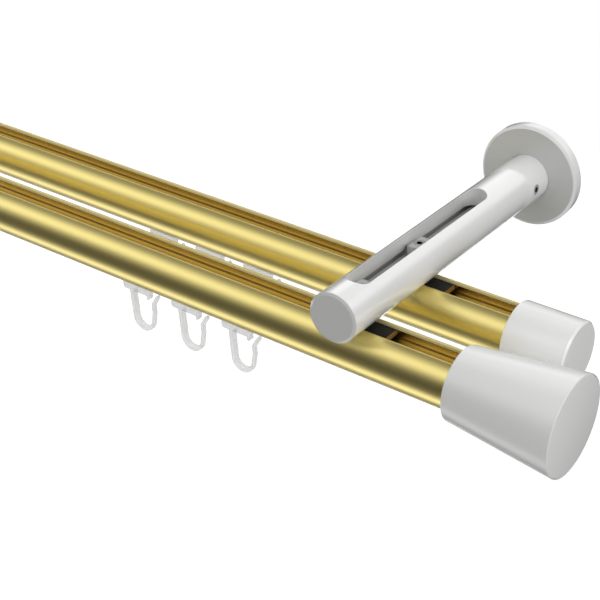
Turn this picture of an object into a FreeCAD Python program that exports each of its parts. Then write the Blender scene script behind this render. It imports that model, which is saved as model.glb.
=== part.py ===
"""Double curtain pole with two round inner-run rails on a pair of wall brackets.

Millimetres. +X runs along the rails, +Y points into the wall and +Z is up. The origin lies on
the wall, half-way between the brackets, at the height of the bracket arms. The pole is
symmetric about the YZ plane, so every part away from the middle comes as a left and a right one.
"""
import math
import os

import FreeCAD
import Part
from FreeCAD import Rotation, Vector

# Layout of the pole
RAIL_LENGTH = 1000.0
RAIL_OVERHANG = 51.3
RAIL_PITCH = 36.0
WALL_TO_FRONT_RAIL = 117.0

# Rail section, heights measured from the rail's axis
RAIL_DIAMETER = 20.0
TOP_MOUTH_WIDTH = 8.0
TOP_CHANNEL_WIDTH = 10.0
TOP_LIP_UNDERSIDE = 7.5
TOP_CHANNEL_FLOOR = 4.2
FLOOR_GROOVE_WIDTH = 6.0
FLOOR_GROOVE_DEPTH = 0.5
GLIDER_MOUTH_WIDTH = 4.0
GLIDER_CHANNEL_RADIUS = 8.7
GLIDER_CHANNEL_TOP = 2.4
GLIDER_TRACK_HEIGHT = -7.9
LIP_ROUNDING = 0.3

# Bracket arm, heights measured from the arm's axis
ARM_DIAMETER = 18.0
ARM_WALL = 1.6
ARM_FRONT_OVERHANG = 14.6
ARM_CHAMBER_TOP = 2.0
ARM_FLOOR_TOP = -5.2
ARM_RIB_TOP = 0.1
ARM_RIB_THICKNESS = 1.56
ARM_OPENING_WIDTH = 8.7
ARM_OPENING_NEAR = 5.0
ARM_OPENING_FAR = 76.7
ARM_SLOT_WIDTH = 5.6
ARM_SLOT_FAR = 73.5
RAIL_SEAT_DEPTH = 1.27
RAIL_SEAT_CLEARANCE = 0.02

# Front cap of the arm
ARM_CAP_STEP = 0.05
ARM_CAP_THICKNESS = 0.6
ARM_CAP_BEVEL_WIDTH = 0.9
ARM_CAP_BEVEL_DEPTH = 0.5
ARM_CAP_PRONG_LENGTH = 4.0
ARM_CAP_CLEARANCE = 0.05

# Wall plate and its spigot
PLATE_DIAMETER = 37.0
PLATE_THICKNESS = 2.5
SPIGOT_LENGTH = 20.0
SPIGOT_CLEARANCE = 0.05
SPIGOT_BORE_DIAMETER = 8.0
SPIGOT_CHAMFER = 0.6
WALL_SCREW_HOLE_DIAMETER = 4.5
WALL_SCREW_HEAD_DIAMETER = 8.0
WALL_SCREW_SPACING = 26.4

# Rosette that covers the wall plate
ROSETTE_DIAMETER = 40.0
ROSETTE_SIDE_DEPTH = 2.65
ROSETTE_RIM_DEPTH = 4.3
ROSETTE_HUB_DEPTH = 5.25
ROSETTE_BEVEL_WIDTH = 1.7
ROSETTE_CAVITY_DEPTH = 2.6
ROSETTE_RIM_THICKNESS = 1.2
ROSETTE_CLEARANCE = 0.1

# Set screws
SCREW_DIAMETER = 4.0
SCREW_CHAMFER = 0.35
SOCKET_ACROSS_FLATS = 2.0
SOCKET_DEPTH = 1.6
GRUB_SCREW_TO_WALL = 14.15
GRUB_SCREW_RISE = 5.0
GRUB_SCREW_LENGTH = 3.8
GRUB_SCREW_RECESS = 0.1
GRUB_DIMPLE_CLEARANCE = 0.1

# Clamps that hang the rails from the arm
CLAMP_HEAD_DIAMETER = 8.6
CLAMP_CREST_WIDTH = 3.8
CLAMP_HEIGHT = 4.8
CLAMP_SIDE_DROP = 1.5
CLAMP_NECK_DIAMETER = 5.2
CLAMP_SCREW_CLEARANCE = 0.02
CLAMP_SCREW_RECESS = 0.05
SLOT_PLATE_LENGTH = 24.6
SLOT_PLATE_WIDTH = 9.6
SLOT_PLATE_CREST_WIDTH = 7.4
SLOT_PLATE_THICKNESS = 1.8
SLOT_PLATE_CREST_HEIGHT = 1.3
SLOT_PLATE_CLEARANCE = 0.02

# Conical finial on the front rail
FINIAL_ENGAGEMENT = 11.7
FINIAL_LENGTH = 39.3
FINIAL_MOUTH_DIAMETER = 25.9
FINIAL_END_DIAMETER = 34.5
FINIAL_WALL = 2.2
FINIAL_SOCKET_FLANGE = 1.6
FINIAL_DISC_THICKNESS = 2.0
FINIAL_DISC_RIM = 0.5
FINIAL_EDGE_CHAMFER = 0.25

# Straight cap on the rear rail
REAR_CAP_ENGAGEMENT = 12.0
REAR_CAP_LENGTH = 22.9
REAR_CAP_DIAMETER = 24.0
REAR_CAP_END_THICKNESS = 2.2
REAR_CAP_RELIEF_DIAMETER = 17.0
REAR_CAP_CHAMFER = 0.7
SOCKET_CLEARANCE = 0.05
MOUTH_ROUNDING = 0.4

# Stops that keep the gliders in the rail
STOP_LENGTH = 9.0
STOP_WIDTH = 6.4
STOP_HEIGHT = 5.0
STOP_NECK_WIDTH = 3.6
STOP_NECK_DROP = 1.6

# Gliders, x measured from the middle of the bar and z from the rail's axis
GLIDER_PITCH = 23.6
GLIDERS_PER_GROUP = 3
FRONT_GLIDER_INSET = 51.5
REAR_GLIDER_INSET = 70.4
HEAD_LENGTH = 12.4
HEAD_WIDTH = 6.6
HEAD_HEIGHT = 2.2
HEAD_CLEARANCE = 0.05
HEAD_CORNER_RADIUS = 2.4
NECK_LENGTH = 8.4
NECK_WIDTH = 3.2
BAR_LENGTH = 12.6
BAR_DEPTH = 2.4
BAR_TOP = -11.2
BAR_BOTTOM = -14.6
BAR_CORNER_RADIUS = 1.3
CATCH_WIDTH = 1.1
CATCH_DROP = 1.5
CATCH_CORNER_RADIUS = 0.5
LEG_THICKNESS = 1.5
LEG_TOP_X = -2.42
LEG_TOP_Z = -14.0
LEG_LEAN = 5.3
LEG_LENGTH = 11.65
HOOK_RADIUS = 4.3
HOOK_WIDE_TURN = 125.0
HOOK_THIN_TURN = 41.7
TINE_THICKNESS = 1.3
TINE_DEPTH = 1.4
TINE_LOWER_LENGTH = 4.4
TINE_BEND_RADIUS = 3.0
TINE_INWARD_TURN = 14.0
TINE_MIDDLE_LENGTH = 1.8
TINE_OUTWARD_TURN = 36.0
TINE_TIP_LENGTH = 3.4

# Places that follow from the sizes above
MOUTH_HALF = TOP_MOUTH_WIDTH / 2
RAIL_CREST = math.sqrt((RAIL_DIAMETER / 2) ** 2 - MOUTH_HALF ** 2)
RAIL_Z = RAIL_SEAT_DEPTH - RAIL_CREST - ARM_DIAMETER / 2
FRONT_RAIL_Y = -WALL_TO_FRONT_RAIL
REAR_RAIL_Y = FRONT_RAIL_Y + RAIL_PITCH
RAIL_END = RAIL_LENGTH / 2
BRACKET_X = RAIL_END - RAIL_OVERHANG
FINIAL_START = RAIL_OVERHANG - FINIAL_ENGAGEMENT
REAR_CAP_START = RAIL_OVERHANG - REAR_CAP_ENGAGEMENT
ARM_FRONT_Y = FRONT_RAIL_Y - ARM_FRONT_OVERHANG
ARM_BORE_RADIUS = ARM_DIAMETER / 2 - ARM_WALL
SPIGOT_RADIUS = ARM_BORE_RADIUS - SPIGOT_CLEARANCE
GRUB_SCREW_ANGLE = math.radians(GRUB_SCREW_RISE)
GRUB_SCREW_AXIS = Vector(math.cos(GRUB_SCREW_ANGLE), 0, math.sin(GRUB_SCREW_ANGLE))
FINIAL_SLOPE = (FINIAL_END_DIAMETER - FINIAL_MOUTH_DIAMETER) / 2 / FINIAL_LENGTH
SOCKET_RADIUS = RAIL_DIAMETER / 2 + SOCKET_CLEARANCE

# Reach of cutters past the faces they open
CUT_MARGIN = 1.0

AXIS_X = Vector(1, 0, 0)
AXIS_Y = Vector(0, 1, 0)
AXIS_Z = Vector(0, 0, 1)


def box(x_range, y_range, z_range):
    """Return a box between the given limits, each a (low, high) pair."""
    low = Vector(x_range[0], y_range[0], z_range[0])
    high = Vector(x_range[1], y_range[1], z_range[1])
    size = high - low
    return Part.makeBox(size.x, size.y, size.z, low)


def centred_box(length, width, z_range):
    """Return a box centred on the Z axis, between two heights."""
    return box((-length / 2, length / 2), (-width / 2, width / 2), z_range)


def rod(radius, start, direction, length):
    """Return a cylinder that starts at a point and runs along a direction."""
    return Part.makeCylinder(radius, length, start, direction)


def slot(width, y_range, z_range):
    """Return an oblong cutter along Y with round ends, centred on x = 0."""
    radius = width / 2
    height = z_range[1] - z_range[0]
    near = Vector(0, y_range[0] + radius, z_range[0])
    far = Vector(0, y_range[1] - radius, z_range[0])
    body = box((-radius, radius), (near.y, far.y), z_range)
    ends = [rod(radius, centre, AXIS_Z, height) for centre in (near, far)]
    return body.fuse(ends).removeSplitter()


def revolved(profile, centre, axis):
    """Return the solid that a closed (distance, radius) profile sweeps about an axis.

    The profile's distances run along the axis from the centre.
    """
    points = [Vector(distance, radius, 0) for distance, radius in profile]
    face = Part.Face(Part.makePolygon(points + points[:1]))
    solid = face.revolve(Vector(0, 0, 0), AXIS_X, 360)
    solid.Placement = FreeCAD.Placement(centre, Rotation(AXIS_X, axis))
    return solid


def edges_where(shape, test):
    """Return the edges whose middle point and direction pass a test."""
    chosen = []
    for edge in shape.Edges:
        middle = edge.valueAt((edge.FirstParameter + edge.LastParameter) / 2)
        direction = edge.tangentAt((edge.FirstParameter + edge.LastParameter) / 2)
        if test(middle, direction):
            chosen.append(edge)
    return chosen


def moved(shape, x=0.0, y=0.0, z=0.0):
    """Return a copy of a shape, shifted."""
    copy = shape.copy()
    copy.translate(Vector(x, y, z))
    return copy


def mirrored(shape):
    """Return the left-hand twin of a right-hand shape."""
    return shape.mirror(Vector(0, 0, 0), AXIS_X)


def set_screw(length):
    """Return a set screw along +Z with its socket end on top at z = 0."""
    radius = SCREW_DIAMETER / 2
    thin = radius - SCREW_CHAMFER
    profile = [
        (0, 0),
        (0, thin),
        (-SCREW_CHAMFER, radius),
        (SCREW_CHAMFER - length, radius),
        (-length, thin),
        (-length, 0),
    ]
    body = revolved(profile, Vector(0, 0, 0), AXIS_Z)
    corner = SOCKET_ACROSS_FLATS / math.sqrt(3)
    angles = [math.radians(60 * step) for step in range(7)]
    hexagon = [Vector(corner * math.cos(a), corner * math.sin(a), -SOCKET_DEPTH) for a in angles]
    socket = Part.Face(Part.makePolygon(hexagon)).extrude(AXIS_Z * (SOCKET_DEPTH + CUT_MARGIN))
    return body.cut(socket)


def rail():
    """Return one rail about the X axis, with its clamp channel on top and track below."""
    start = Vector(-RAIL_END, 0, 0)
    outer = rod(RAIL_DIAMETER / 2, start, AXIS_X, RAIL_LENGTH)
    span = (-RAIL_END - CUT_MARGIN, RAIL_END + CUT_MARGIN)
    above = RAIL_DIAMETER / 2 + CUT_MARGIN

    def channel(width, z_range):
        return box(span, (-width / 2, width / 2), z_range)

    mouth = channel(TOP_MOUTH_WIDTH, (TOP_CHANNEL_FLOOR, above))
    clamp_channel = channel(TOP_CHANNEL_WIDTH, (TOP_CHANNEL_FLOOR, TOP_LIP_UNDERSIDE))
    groove_floor = TOP_CHANNEL_FLOOR - FLOOR_GROOVE_DEPTH
    groove = channel(FLOOR_GROOVE_WIDTH, (groove_floor, TOP_LIP_UNDERSIDE))
    bore = rod(GLIDER_CHANNEL_RADIUS, Vector(span[0], 0, 0), AXIS_X, span[1] - span[0])
    track = bore.common(channel(RAIL_DIAMETER, (GLIDER_TRACK_HEIGHT, GLIDER_CHANNEL_TOP)))
    glider_mouth = channel(GLIDER_MOUTH_WIDTH, (-above, 0))
    body = outer.cut([mouth, clamp_channel, groove, track, glider_mouth])

    def on_lip(middle, direction):
        along = abs(direction.x) > 0.99
        top = abs(abs(middle.y) - MOUTH_HALF) < 0.01 and middle.z > TOP_CHANNEL_FLOOR + 1
        bottom = abs(abs(middle.y) - GLIDER_MOUTH_WIDTH / 2) < 0.01 and middle.z < 0
        return along and (top or bottom)

    return body.makeFillet(LIP_ROUNDING, edges_where(body, on_lip))


def arm_chamber(y_range, clearance):
    """Return the arm's hollow along a stretch of Y, smaller all round by a clearance.

    Two ribs stand in the hollow, one on each side of the slot in the arm's floor.
    """
    length = y_range[1] - y_range[0]
    bore = rod(ARM_BORE_RADIUS - clearance, Vector(0, y_range[0], 0), AXIS_Y, length)
    across = (-ARM_DIAMETER, ARM_DIAMETER)
    heights = (ARM_FLOOR_TOP + clearance, ARM_CHAMBER_TOP - clearance)
    hollow = bore.common(box(across, y_range, heights))
    inner = ARM_SLOT_WIDTH / 2 - clearance
    outer = ARM_SLOT_WIDTH / 2 + ARM_RIB_THICKNESS + clearance
    rib_heights = (-ARM_DIAMETER, ARM_RIB_TOP + clearance)
    ribs = [box(x_range, y_range, rib_heights) for x_range in ((inner, outer), (-outer, -inner))]
    return hollow.cut(ribs)


def bracket_arm():
    """Return the arm at x = 0: a round extrusion, open on top over the ribs of its chamber."""
    radius = ARM_DIAMETER / 2
    back_y = -PLATE_THICKNESS
    outer = rod(radius, Vector(0, ARM_FRONT_Y, 0), AXIS_Y, back_y - ARM_FRONT_Y)
    chamber = arm_chamber((ARM_FRONT_Y - CUT_MARGIN, back_y + CUT_MARGIN), 0)
    opening_range = (FRONT_RAIL_Y - ARM_OPENING_NEAR, FRONT_RAIL_Y + ARM_OPENING_FAR)
    above = radius + CUT_MARGIN
    opening = slot(ARM_OPENING_WIDTH, opening_range, (ARM_CHAMBER_TOP - CUT_MARGIN, above))
    slot_range = (FRONT_RAIL_Y - ARM_SLOT_WIDTH / 2, FRONT_RAIL_Y + ARM_SLOT_FAR)
    clamp_slot = slot(ARM_SLOT_WIDTH, slot_range, (-above, ARM_FLOOR_TOP + CUT_MARGIN))
    socket_start = Vector(0, back_y - SPIGOT_LENGTH - CUT_MARGIN, 0)
    socket = rod(ARM_BORE_RADIUS, socket_start, AXIS_Y, SPIGOT_LENGTH + 2 * CUT_MARGIN)
    screw_start = Vector(0, -GRUB_SCREW_TO_WALL, 0)
    screw_hole = rod(SCREW_DIAMETER / 2, screw_start, GRUB_SCREW_AXIS, ARM_DIAMETER)
    seat_radius = RAIL_DIAMETER / 2 + RAIL_SEAT_CLEARANCE
    cutters = [chamber, opening, clamp_slot, socket, screw_hole]
    for rail_y in (FRONT_RAIL_Y, REAR_RAIL_Y):
        seat_start = Vector(-above, rail_y, RAIL_Z)
        cutters.append(rod(seat_radius, seat_start, AXIS_X, 2 * above))
    return outer.cut(cutters)


def arm_cap():
    """Return the cap at x = 0: a disc with a prong that fills the end of the arm's chamber."""
    radius = ARM_DIAMETER / 2 - ARM_CAP_STEP
    profile = [
        (0, 0),
        (0, radius - ARM_CAP_BEVEL_WIDTH),
        (ARM_CAP_BEVEL_DEPTH, radius),
        (ARM_CAP_THICKNESS, radius),
        (ARM_CAP_THICKNESS, 0),
    ]
    disc = revolved(profile, Vector(0, ARM_FRONT_Y - ARM_CAP_THICKNESS, 0), AXIS_Y)
    along = (ARM_FRONT_Y, ARM_FRONT_Y + ARM_CAP_PRONG_LENGTH)
    return disc.fuse(arm_chamber(along, ARM_CAP_CLEARANCE))


def wall_plate():
    """Return the plate at x = 0 with its spigot and two countersunk screw holes."""
    plate = rod(PLATE_DIAMETER / 2, Vector(0, -PLATE_THICKNESS, 0), AXIS_Y, PLATE_THICKNESS)
    end = PLATE_THICKNESS + SPIGOT_LENGTH
    profile = [
        (0, SPIGOT_BORE_DIAMETER / 2),
        (0, SPIGOT_RADIUS - SPIGOT_CHAMFER),
        (SPIGOT_CHAMFER, SPIGOT_RADIUS),
        (SPIGOT_LENGTH, SPIGOT_RADIUS),
        (SPIGOT_LENGTH, SPIGOT_BORE_DIAMETER / 2),
    ]
    spigot = revolved(profile, Vector(0, -end, 0), AXIS_Y)
    dimple_radius = SCREW_DIAMETER / 2 + GRUB_DIMPLE_CLEARANCE
    dimple_x = ARM_DIAMETER / 2 - GRUB_SCREW_RECESS - GRUB_SCREW_LENGTH - GRUB_DIMPLE_CLEARANCE
    dimple_start = GRUB_SCREW_AXIS * dimple_x - AXIS_Y * GRUB_SCREW_TO_WALL
    cutters = [rod(dimple_radius, dimple_start, GRUB_SCREW_AXIS, ARM_DIAMETER)]
    hole_radius = WALL_SCREW_HOLE_DIAMETER / 2
    head_radius = WALL_SCREW_HEAD_DIAMETER / 2
    sink = head_radius - hole_radius
    for z in (-WALL_SCREW_SPACING / 2, WALL_SCREW_SPACING / 2):
        front = Vector(0, -PLATE_THICKNESS, z)
        cutters.append(rod(hole_radius, front, AXIS_Y, PLATE_THICKNESS))
        cutters.append(Part.makeCone(head_radius, hole_radius, sink, front, AXIS_Y))
    return plate.fuse(spigot).removeSplitter().cut(cutters)


def rosette():
    """Return the round cover at x = 0, bevelled and slightly coned, over the wall plate."""
    radius = ROSETTE_DIAMETER / 2
    hole = ARM_DIAMETER / 2 + ROSETTE_CLEARANCE
    cavity = radius - ROSETTE_RIM_THICKNESS
    profile = [
        (-ROSETTE_HUB_DEPTH, hole),
        (-ROSETTE_RIM_DEPTH, radius - ROSETTE_BEVEL_WIDTH),
        (-ROSETTE_SIDE_DEPTH, radius),
        (0, radius),
        (0, cavity),
        (-ROSETTE_CAVITY_DEPTH, cavity),
        (-ROSETTE_CAVITY_DEPTH, hole),
    ]
    return revolved(profile, Vector(0, 0, 0), AXIS_Y)


def grub_screw():
    """Return the set screw at x = 0 that locks the arm on its spigot."""
    screw = set_screw(GRUB_SCREW_LENGTH)
    out = ARM_DIAMETER / 2 - GRUB_SCREW_RECESS
    head = GRUB_SCREW_AXIS * out - AXIS_Y * GRUB_SCREW_TO_WALL
    screw.Placement = FreeCAD.Placement(head, Rotation(AXIS_Z, GRUB_SCREW_AXIS))
    return screw


def slot_plate(rail_y):
    """Return the steel plate whose crest fills the rail's mouth from below."""
    top = RAIL_Z + TOP_LIP_UNDERSIDE - SLOT_PLATE_CLEARANCE
    bottom = top - SLOT_PLATE_THICKNESS
    flange = centred_box(SLOT_PLATE_LENGTH, SLOT_PLATE_WIDTH, (bottom, top))
    crest_range = (bottom, top + SLOT_PLATE_CREST_HEIGHT)
    crest = centred_box(SLOT_PLATE_LENGTH, SLOT_PLATE_CREST_WIDTH, crest_range)
    neck = rod(CLAMP_NECK_DIAMETER / 2, Vector(0, 0, bottom - CUT_MARGIN), AXIS_Z, ARM_DIAMETER)
    return moved(flange.fuse(crest).removeSplitter().cut(neck), y=rail_y)


def clamp_block(rail_y):
    """Return the clamp: a round head on the arm's ribs with a neck down to the slot plate."""
    radius = CLAMP_HEAD_DIAMETER / 2
    crest = CLAMP_CREST_WIDTH / 2
    top = ARM_RIB_TOP + CLAMP_HEIGHT
    reach = radius + CUT_MARGIN
    low = top - CLAMP_SIDE_DROP * (reach - crest) / (radius - crest)
    outline = [
        (-reach, ARM_RIB_TOP),
        (reach, ARM_RIB_TOP),
        (reach, low),
        (crest, top),
        (-crest, top),
        (-reach, low),
    ]
    points = [Vector(x, -reach, z) for x, z in outline]
    section = Part.Face(Part.makePolygon(points + points[:1]))
    ridge = section.extrude(AXIS_Y * 2 * reach)
    head = rod(radius, Vector(0, 0, ARM_RIB_TOP), AXIS_Z, CLAMP_HEIGHT).common(ridge)
    foot = RAIL_Z + TOP_LIP_UNDERSIDE - SLOT_PLATE_CLEARANCE - SLOT_PLATE_THICKNESS
    neck = rod(CLAMP_NECK_DIAMETER / 2, Vector(0, 0, foot), AXIS_Z, ARM_RIB_TOP - foot)
    bore_radius = SCREW_DIAMETER / 2 + CLAMP_SCREW_CLEARANCE
    bore_start = Vector(0, 0, foot - CUT_MARGIN)
    bore = rod(bore_radius, bore_start, AXIS_Z, top - foot + 2 * CUT_MARGIN)
    return moved(head.fuse(neck).removeSplitter().cut(bore), y=rail_y)


def clamp_screw(rail_y):
    """Return the set screw that presses on the rail's channel floor."""
    top = ARM_RIB_TOP + CLAMP_HEIGHT - CLAMP_SCREW_RECESS
    tip = RAIL_Z + TOP_CHANNEL_FLOOR - FLOOR_GROOVE_DEPTH + CLAMP_SCREW_CLEARANCE
    return moved(set_screw(top - tip), y=rail_y, z=top)


def finial():
    """Return the conical finial's shell, open at its wide end, with the bracket at x = 0."""
    mouth = FINIAL_MOUTH_DIAMETER / 2
    end = FINIAL_END_DIAMETER / 2
    stop = FINIAL_ENGAGEMENT
    seat = FINIAL_LENGTH - FINIAL_DISC_THICKNESS
    shelf = seat - FINIAL_SOCKET_FLANGE
    seat_radius = end - FINIAL_DISC_RIM
    hollow_start = stop + FINIAL_SOCKET_FLANGE

    def inside(distance):
        return mouth + FINIAL_SLOPE * distance - FINIAL_WALL

    profile = [
        (0, SOCKET_RADIUS),
        (0, mouth - MOUTH_ROUNDING),
        (MOUTH_ROUNDING, mouth + FINIAL_SLOPE * MOUTH_ROUNDING),
        (FINIAL_LENGTH - FINIAL_EDGE_CHAMFER, end - FINIAL_SLOPE * FINIAL_EDGE_CHAMFER),
        (FINIAL_LENGTH, end - FINIAL_EDGE_CHAMFER),
        (FINIAL_LENGTH, seat_radius),
        (seat, seat_radius),
        (seat, inside(seat)),
        (shelf, inside(shelf)),
        (hollow_start, inside(hollow_start)),
        (hollow_start, GLIDER_CHANNEL_RADIUS),
        (stop, GLIDER_CHANNEL_RADIUS),
        (stop, SOCKET_RADIUS),
    ]
    return revolved(profile, Vector(FINIAL_START, FRONT_RAIL_Y, RAIL_Z), AXIS_X)


def finial_disc():
    """Return the flat disc that closes the finial's wide end."""
    radius = FINIAL_END_DIAMETER / 2 - FINIAL_DISC_RIM - SOCKET_CLEARANCE
    seat = FINIAL_LENGTH - FINIAL_DISC_THICKNESS
    profile = [
        (seat, 0),
        (seat, radius),
        (FINIAL_LENGTH - FINIAL_EDGE_CHAMFER, radius),
        (FINIAL_LENGTH, radius - FINIAL_EDGE_CHAMFER),
        (FINIAL_LENGTH, 0),
    ]
    return revolved(profile, Vector(FINIAL_START, FRONT_RAIL_Y, RAIL_Z), AXIS_X)


def rear_cap():
    """Return the straight cap of the rear rail, with the bracket at x = 0."""
    radius = REAR_CAP_DIAMETER / 2
    stop = REAR_CAP_ENGAGEMENT
    inner_end = REAR_CAP_LENGTH - REAR_CAP_END_THICKNESS
    profile = [
        (0, SOCKET_RADIUS),
        (0, radius - MOUTH_ROUNDING),
        (MOUTH_ROUNDING, radius),
        (REAR_CAP_LENGTH - REAR_CAP_CHAMFER, radius),
        (REAR_CAP_LENGTH, radius - REAR_CAP_CHAMFER),
        (REAR_CAP_LENGTH, 0),
        (inner_end, 0),
        (inner_end, REAR_CAP_RELIEF_DIAMETER / 2),
        (stop, REAR_CAP_RELIEF_DIAMETER / 2),
        (stop, SOCKET_RADIUS),
    ]
    return revolved(profile, Vector(REAR_CAP_START, REAR_RAIL_Y, RAIL_Z), AXIS_X)


def end_stop(rail_y):
    """Return the stop in the last stretch of the glider track, with the bracket at x = 0."""
    x_range = (RAIL_OVERHANG - STOP_LENGTH, RAIL_OVERHANG)
    base = GLIDER_TRACK_HEIGHT + HEAD_CLEARANCE
    half = STOP_WIDTH / 2
    body = box(x_range, (-half, half), (base, base + STOP_HEIGHT))
    neck_half = STOP_NECK_WIDTH / 2
    neck = box(x_range, (-neck_half, neck_half), (base - STOP_NECK_DROP, base))
    return moved(body.fuse(neck).removeSplitter(), y=rail_y, z=RAIL_Z)


def ribbon(start, heading, moves, thickness, depth):
    """Return a bent strip of even thickness, and the point and heading where it ends.

    Args:
        start: (x, z) of the strip's middle line where it begins.
        heading: its direction there, in degrees from +X towards +Z.
        moves: (length, 0) for a straight stretch, (radius, turn) for a bend by turn degrees.
        thickness: the strip's size across its middle line.
        depth: its size along Y, half on each side of y = 0.
    """
    x, z = start
    left, right = [], []

    def beside(x, z, heading, offset):
        angle = math.radians(heading)
        return Vector(x - offset * math.sin(angle), -depth / 2, z + offset * math.cos(angle))

    for size, turn in moves:
        if turn == 0:
            angle = math.radians(heading)
            after = (x + size * math.cos(angle), z + size * math.sin(angle))
            for side, offset in ((left, thickness / 2), (right, -thickness / 2)):
                side.append(Part.makeLine(beside(x, z, heading, offset), beside(*after, heading, offset)))
            x, z = after
            continue
        signed = math.copysign(size, turn)
        pivot = beside(x, z, heading, signed)
        half_way = heading + turn / 2
        finish = heading + turn

        def on_bend(direction, offset):
            angle = math.radians(direction)
            reach = signed - offset
            return Vector(pivot.x + reach * math.sin(angle), -depth / 2, pivot.z - reach * math.cos(angle))

        for side, offset in ((left, thickness / 2), (right, -thickness / 2)):
            points = [on_bend(direction, offset) for direction in (heading, half_way, finish)]
            side.append(Part.Arc(*points).toShape())
        middle = on_bend(finish, 0)
        x, z, heading = middle.x, middle.z, finish
    first = Part.makeLine(left[0].Vertexes[0].Point, right[0].Vertexes[0].Point)
    last = Part.makeLine(left[-1].Vertexes[-1].Point, right[-1].Vertexes[-1].Point)
    outline = Part.Wire(Part.__sortEdges__([first, *left, last, *right]))
    return Part.Face(outline).extrude(AXIS_Y * depth), (x, z), heading


def glider_head():
    """Return the glider's runner, its neck and the bar below the rail, with the catch."""
    base = GLIDER_TRACK_HEIGHT + HEAD_CLEARANCE
    head = centred_box(HEAD_LENGTH, HEAD_WIDTH, (base, base + HEAD_HEIGHT))
    upright = edges_where(head, lambda middle, direction: abs(direction.z) > 0.99)
    head = head.makeFillet(HEAD_CORNER_RADIUS, upright)
    neck = centred_box(NECK_LENGTH, NECK_WIDTH, (BAR_TOP, base))
    bar = centred_box(BAR_LENGTH, BAR_DEPTH, (BAR_BOTTOM, BAR_TOP))

    def outer_corner(middle, direction):
        return abs(direction.y) > 0.99 and (middle.x < 0 or middle.z > BAR_BOTTOM + 1)

    bar = bar.makeFillet(BAR_CORNER_RADIUS, edges_where(bar, outer_corner))
    right = BAR_LENGTH / 2
    side = (-BAR_DEPTH / 2, BAR_DEPTH / 2)
    catch = box((right - CATCH_WIDTH, right), side, (BAR_BOTTOM - CATCH_DROP, BAR_BOTTOM))

    def foot_corner(middle, direction):
        return abs(direction.y) > 0.99 and middle.z < BAR_BOTTOM - CATCH_DROP / 2

    catch = catch.makeFillet(CATCH_CORNER_RADIUS, edges_where(catch, foot_corner))
    return [head, neck, bar, catch]


def glider_hook():
    """Return the hook below the bar: a wide leg and bend, then a thin tine with a round tip."""
    wide_moves = [(LEG_LENGTH, 0), (HOOK_RADIUS, HOOK_WIDE_TURN)]
    top = (LEG_TOP_X, LEG_TOP_Z)
    heading = LEG_LEAN - 90
    leg, end, heading = ribbon(top, heading, wide_moves, LEG_THICKNESS, BAR_DEPTH)
    thin_moves = [
        (HOOK_RADIUS, HOOK_THIN_TURN),
        (TINE_LOWER_LENGTH, 0),
        (TINE_BEND_RADIUS, TINE_INWARD_TURN),
        (TINE_MIDDLE_LENGTH, 0),
        (TINE_BEND_RADIUS, -TINE_OUTWARD_TURN),
        (TINE_TIP_LENGTH, 0),
    ]
    tine, tip, heading = ribbon(end, heading, thin_moves, TINE_THICKNESS, TINE_DEPTH)
    tip_point = Vector(tip[0], -TINE_DEPTH / 2, tip[1])
    return [leg, tine, rod(TINE_THICKNESS / 2, tip_point, AXIS_Y, TINE_DEPTH)]


def glider():
    """Return one glider at x = 0 with its hook open towards +X, about the rail's axis."""
    pieces = glider_head() + glider_hook()
    return pieces[0].fuse(pieces[1:]).removeSplitter()


def right_hand_parts():
    """Return the shapes of the right-hand end by name, each drawn with its bracket at x = 0."""
    return {
        "wall_plate": wall_plate(),
        "rosette": rosette(),
        "arm": bracket_arm(),
        "arm_cap": arm_cap(),
        "arm_grub_screw": grub_screw(),
        "front_slot_plate": slot_plate(FRONT_RAIL_Y),
        "rear_slot_plate": slot_plate(REAR_RAIL_Y),
        "front_clamp_block": clamp_block(FRONT_RAIL_Y),
        "rear_clamp_block": clamp_block(REAR_RAIL_Y),
        "front_clamp_screw": clamp_screw(FRONT_RAIL_Y),
        "rear_clamp_screw": clamp_screw(REAR_RAIL_Y),
        "finial": finial(),
        "finial_disc": finial_disc(),
        "rear_cap": rear_cap(),
        "front_end_stop": end_stop(FRONT_RAIL_Y),
        "rear_end_stop": end_stop(REAR_RAIL_Y),
    }


def glider_places():
    """Yield (name, x, rail_y) of the right-hand gliders, numbered from the bracket inwards."""
    rows = (("front", FRONT_GLIDER_INSET, FRONT_RAIL_Y), ("rear", REAR_GLIDER_INSET, REAR_RAIL_Y))
    for row, inset, rail_y in rows:
        for index in range(GLIDERS_PER_GROUP):
            x = BRACKET_X - inset - index * GLIDER_PITCH
            yield f"{row}_glider_{index + 1}", x, rail_y


def all_parts():
    """Return every part of the pole by name, in its place."""
    parts = {}
    profile = rail()
    parts["front_rail"] = moved(profile, y=FRONT_RAIL_Y, z=RAIL_Z)
    parts["rear_rail"] = moved(profile, y=REAR_RAIL_Y, z=RAIL_Z)
    for name, shape in right_hand_parts().items():
        placed = moved(shape, x=BRACKET_X)
        parts[f"{name}_right"] = placed
        parts[f"{name}_left"] = mirrored(placed)
    one_glider = glider()
    for name, x, rail_y in glider_places():
        placed = moved(one_glider, x=x, y=rail_y, z=RAIL_Z)
        parts[f"{name}_right"] = placed
        parts[f"{name}_left"] = mirrored(placed)
    return parts


os.makedirs("parts", exist_ok=True)
for part_name, part_shape in all_parts().items():
    part_shape.exportStep(f"parts/{part_name}.step")
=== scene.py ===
"""Looks of the double curtain pole: smooth meshes, finishes, studio and camera.

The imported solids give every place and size. Lengths are in metres; +X runs along the rails, +Y
points into the wall and +Z is up.
"""
from __future__ import annotations

import logging
import math
from dataclasses import dataclass, field
from enum import Enum

import bmesh
import bpy
from mathutils import Euler, Matrix, Vector


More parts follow.
